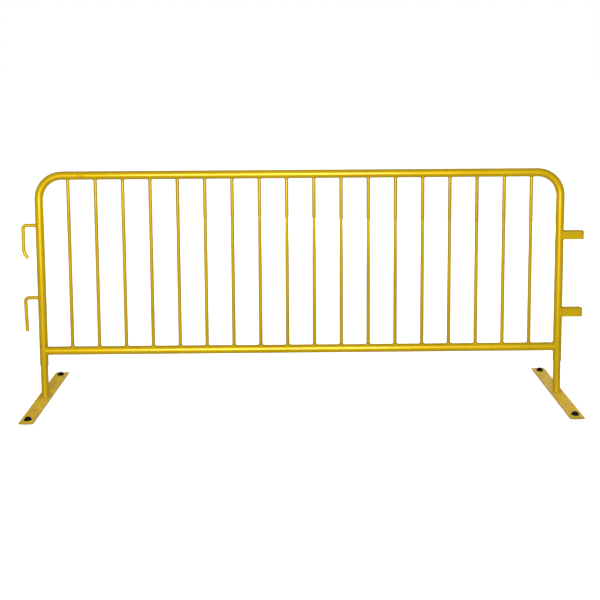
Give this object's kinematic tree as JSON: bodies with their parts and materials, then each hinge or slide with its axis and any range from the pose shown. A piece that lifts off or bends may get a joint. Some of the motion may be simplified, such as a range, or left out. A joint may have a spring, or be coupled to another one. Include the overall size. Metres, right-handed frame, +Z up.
{
  "type": "crowd control barrier",
  "caption": "Yellow tubular steel crowd-control barrier with upright pickets, hooks and loops at its ends, and flat swivelling feet on rubber pads.",
  "frame": {"origin": "on the ground under the middle of the whole barrier, its hooks and loops included; the middle of the panel is 13.4 mm to the -X side of it", "axes": "+X along the panel from the hooks to the loops, +Y through the panel to the back, +Z up"},
  "size_m": [2.5906, 0.66, 1.067],
  "materials": {
    "panel_powder_coat": "glossy yellow powder coat",
    "foot_powder_coat": "worn satin yellow powder coat",
    "bumper_rubber": "matt black moulded rubber",
    "zinc_plated_steel": "bright zinc plate"
  },
  "bodies": {
    "frame": {"frame_tube": "panel_powder_coat", "bottom_rail": "panel_powder_coat", "picket_01": "panel_powder_coat", "picket_02": "panel_powder_coat", "picket_03": "panel_powder_coat", "picket_04": "panel_powder_coat", "picket_05": "panel_powder_coat", "picket_06": "panel_powder_coat", "picket_07": "panel_powder_coat", "picket_08": "panel_powder_coat", "picket_09": "panel_powder_coat", "picket_10": "panel_powder_coat", "picket_11": "panel_powder_coat", "picket_12": "panel_powder_coat", "picket_13": "panel_powder_coat", "picket_14": "panel_powder_coat", "picket_15": "panel_powder_coat", "picket_16": "panel_powder_coat", "picket_17": "panel_powder_coat", "picket_18": "panel_powder_coat", "upper_hook": "panel_powder_coat", "lower_hook": "panel_powder_coat", "upper_loop": "panel_powder_coat", "lower_loop": "panel_powder_coat", "left_stop_plug": "panel_powder_coat", "right_stop_plug": "panel_powder_coat", "left_weld_nut": "panel_powder_coat", "right_weld_nut": "panel_powder_coat"},
    "left_foot": {"left_foot_plate": "foot_powder_coat", "left_foot_stub": "foot_powder_coat", "left_front_bumper": "bumper_rubber", "left_back_bumper": "bumper_rubber"},
    "left_clamp": {"left_clamp_screw": "zinc_plated_steel"},
    "right_foot": {"right_foot_plate": "foot_powder_coat", "right_foot_stub": "foot_powder_coat", "right_front_bumper": "bumper_rubber", "right_back_bumper": "bumper_rubber"},
    "right_clamp": {"right_clamp_screw": "zinc_plated_steel"}
  },
  "joints": [
    {"name": "left_foot_swivel", "type": "hinge", "parent": "frame", "child": "left_foot", "pos_m": [-1.21037, 0, 0], "axis": [0, 0, 1], "continuous": true},
    {"name": "right_foot_swivel", "type": "hinge", "parent": "frame", "child": "right_foot", "pos_m": [1.18362, 0, 0], "axis": [0, 0, 1], "continuous": true},
    {"name": "left_clamp_travel", "type": "slide", "parent": "frame", "child": "left_clamp", "axis": [0, 1, 0], "range_m": [0, 0.005]},
    {"name": "right_clamp_travel", "type": "slide", "parent": "frame", "child": "right_clamp", "axis": [0, 1, 0], "range_m": [0, 0.005]}
  ]
}
